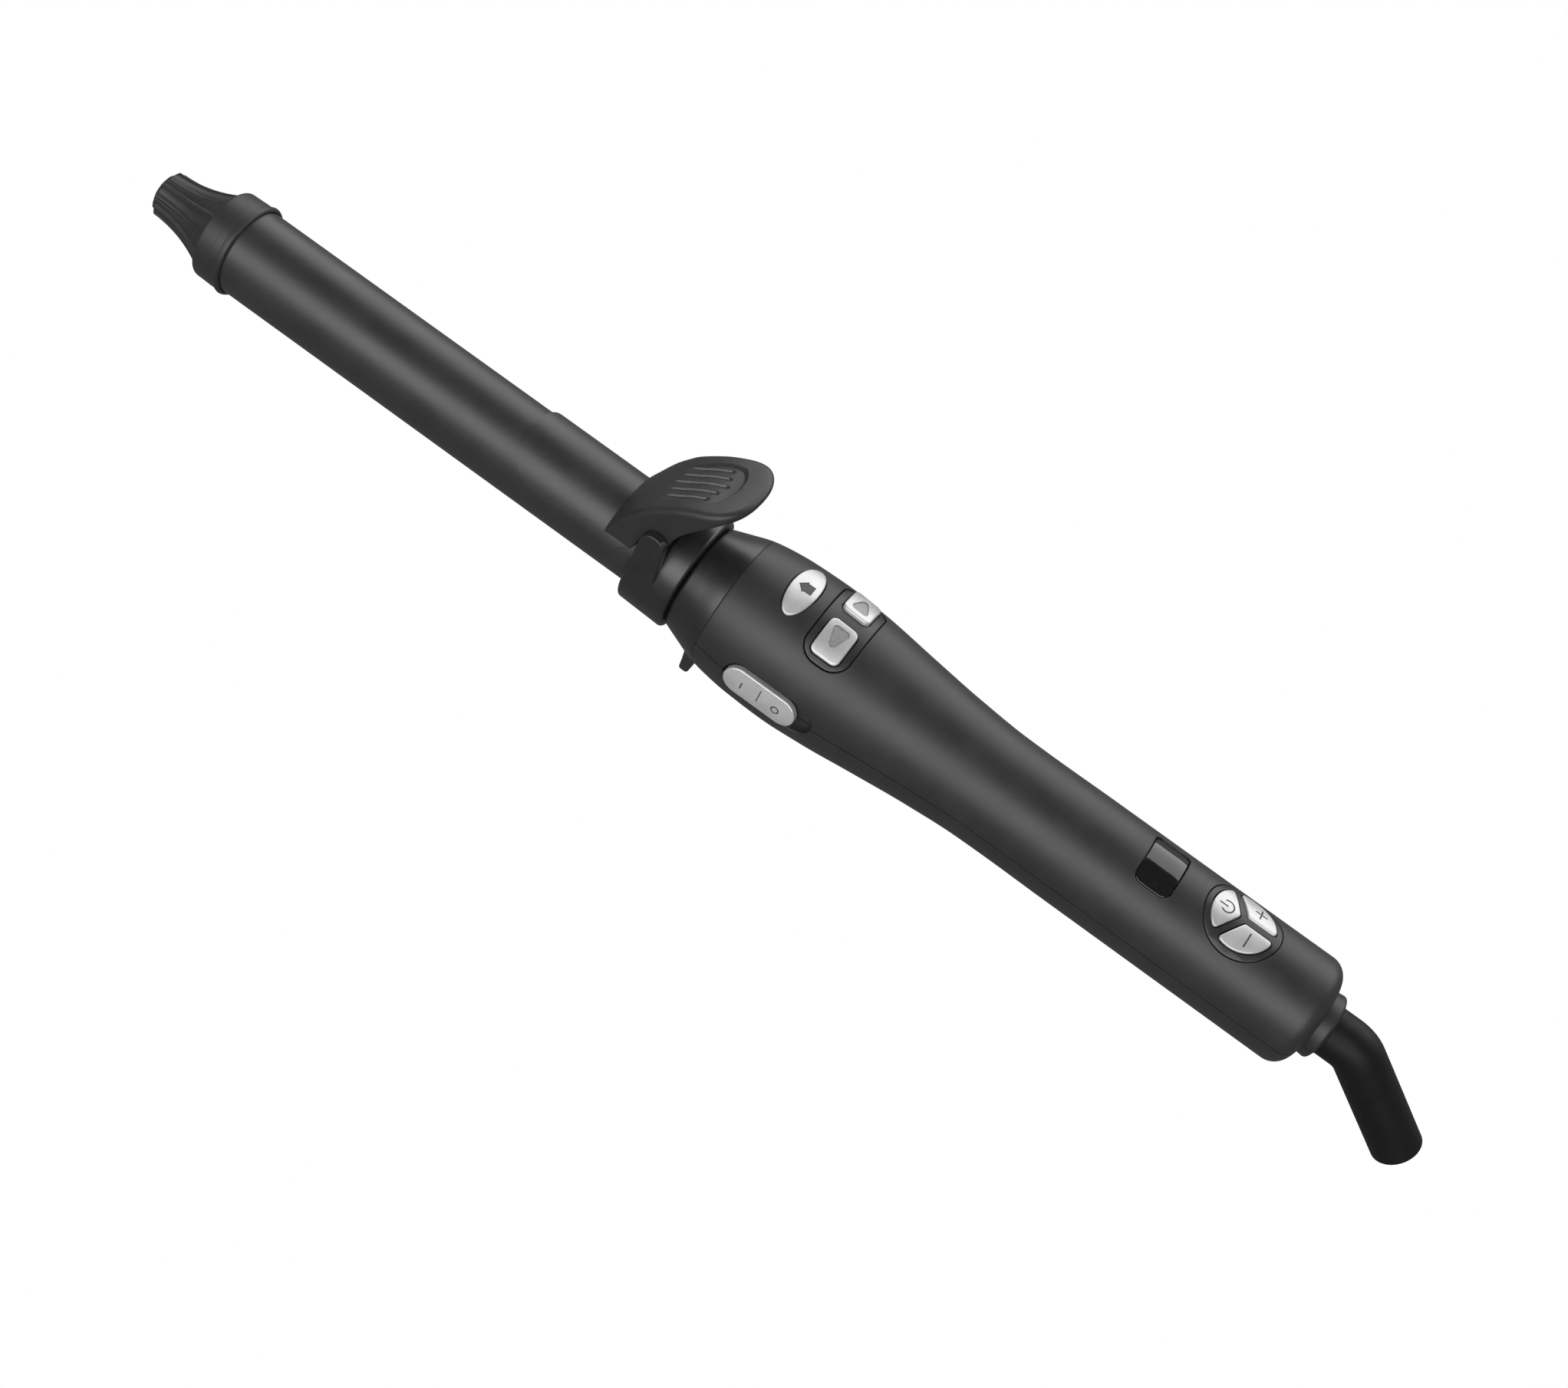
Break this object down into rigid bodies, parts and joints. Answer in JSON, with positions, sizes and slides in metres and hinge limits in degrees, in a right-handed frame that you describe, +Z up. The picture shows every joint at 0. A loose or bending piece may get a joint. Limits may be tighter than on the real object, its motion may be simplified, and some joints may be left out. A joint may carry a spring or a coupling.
{
  "type": "curling iron",
  "caption": "Automatic curling iron: a turning heated barrel with a thumb-lever clamp, on a motor handle with push buttons, a slider and a rest foot.",
  "frame": {"origin": "centre of the flat underside of the rest foot", "axes": "+X along the barrel axis from the cool tip towards the cord end, +Z up towards the buttons, +Y to the side away from the slider"},
  "size_m": [0.4229, 0.043, 0.0683],
  "materials": {
    "soft_touch_plastic": "soft-touch dark grey",
    "gloss_plastic": "glossy near-black",
    "ceramic_coating": "satin dark ceramic coating",
    "satin_silver": "satin silver",
    "bezel_plastic": "satin dark grey",
    "smoked_lens": "glossy smoked",
    "black_rubber": "satin black",
    "inner_plastic": "moulded",
    "steel": "machined",
    "brass": "machined",
    "aluminium": "extruded",
    "ceramic": "fired white",
    "circuit_board": "green solder mask"
  },
  "bodies": {
    "handle": {"handle_shell_upper": "soft_touch_plastic", "handle_shell_lower": "soft_touch_plastic", "nose_ring": "gloss_plastic", "rest_foot": "soft_touch_plastic", "front_bearing": "brass", "brush_block": "inner_plastic", "gear_motor": "steel", "motor_cradle": "inner_plastic", "front_board": "circuit_board", "rear_board": "circuit_board", "display_module": "inner_plastic", "display_window": "smoked_lens", "arrow_bezel": "bezel_plastic", "dial_bezel": "bezel_plastic", "slide_switch": "inner_plastic", "supply_leads": "black_rubber", "tact_switch_home": "inner_plastic", "tact_switch_left": "inner_plastic", "tact_switch_right": "inner_plastic", "tact_switch_power": "inner_plastic", "tact_switch_plus": "inner_plastic", "tact_switch_minus": "inner_plastic", "shell_screw_1": "steel", "shell_screw_2": "steel", "shell_screw_3": "steel", "shell_screw_4": "steel"},
    "barrel": {"barrel_tube": "ceramic_coating", "cool_tip": "soft_touch_plastic", "tip_collar": "soft_touch_plastic", "heater_core": "ceramic", "heater_shoe_upper": "aluminium", "heater_shoe_lower": "aluminium", "thermal_fuse": "ceramic", "barrel_hub": "inner_plastic", "slip_ring_front": "brass", "slip_ring_rear": "brass", "drive_coupling": "inner_plastic", "motor_shaft": "steel", "hinge_bracket": "gloss_plastic", "hinge_pin": "steel"},
    "lever": {"thumb_lever": "soft_touch_plastic", "clamp_plate": "ceramic_coating", "torsion_spring": "steel", "rivet_front": "steel", "rivet_rear": "steel"},
    "home": {"home_button": "satin_silver"},
    "left": {"left_button": "satin_silver"},
    "right": {"right_button": "satin_silver"},
    "power": {"power_button": "satin_silver"},
    "plus": {"plus_button": "satin_silver"},
    "minus": {"minus_button": "satin_silver"},
    "slider": {"on_off_slider": "satin_silver"},
    "sleeve": {"bend_relief": "black_rubber"}
  },
  "joints": [
    {"name": "barrel_spin", "type": "hinge", "parent": "handle", "child": "barrel", "pos_m": [0.0023, 0, 0.0282], "axis": [1, 0, 0], "continuous": true},
    {"name": "clamp_hinge", "type": "hinge", "parent": "barrel", "child": "lever", "pos_m": [-0.0195, 0, 0.0456], "axis": [0, 1, 0], "range_deg": [0, 17], "stiffness_Nm_per_rad": 0.12, "springref_deg": -34.38},
    {"name": "cord_swivel", "type": "hinge", "parent": "handle", "child": "sleeve", "pos_m": [0.1919, 0, 0.0282], "axis": [1, 0, 0], "continuous": true},
    {"name": "home_press", "type": "slide", "parent": "handle", "child": "home", "axis": [0, 0, -1], "range_m": [0, 0.0005], "stiffness_N_per_m": 400, "springref_m": -0.001},
    {"name": "left_press", "type": "slide", "parent": "handle", "child": "left", "axis": [0, 0, -1], "range_m": [0, 0.0005], "stiffness_N_per_m": 400, "springref_m": -0.001},
    {"name": "right_press", "type": "slide", "parent": "handle", "child": "right", "axis": [0, 0, -1], "range_m": [0, 0.0005], "stiffness_N_per_m": 400, "springref_m": -0.001},
    {"name": "power_press", "type": "slide", "parent": "handle", "child": "power", "axis": [0, 0, -1], "range_m": [0, 0.0005], "stiffness_N_per_m": 400, "springref_m": -0.001},
    {"name": "plus_press", "type": "slide", "parent": "handle", "child": "plus", "axis": [0, 0, -1], "range_m": [0, 0.0005], "stiffness_N_per_m": 400, "springref_m": -0.001},
    {"name": "minus_press", "type": "slide", "parent": "handle", "child": "minus", "axis": [0, 0, -1], "range_m": [0, 0.0005], "stiffness_N_per_m": 400, "springref_m": -0.001},
    {"name": "on_off_slide", "type": "slide", "parent": "handle", "child": "slider", "axis": [1, 0, 0], "range_m": [0, 0.004]}
  ]
}
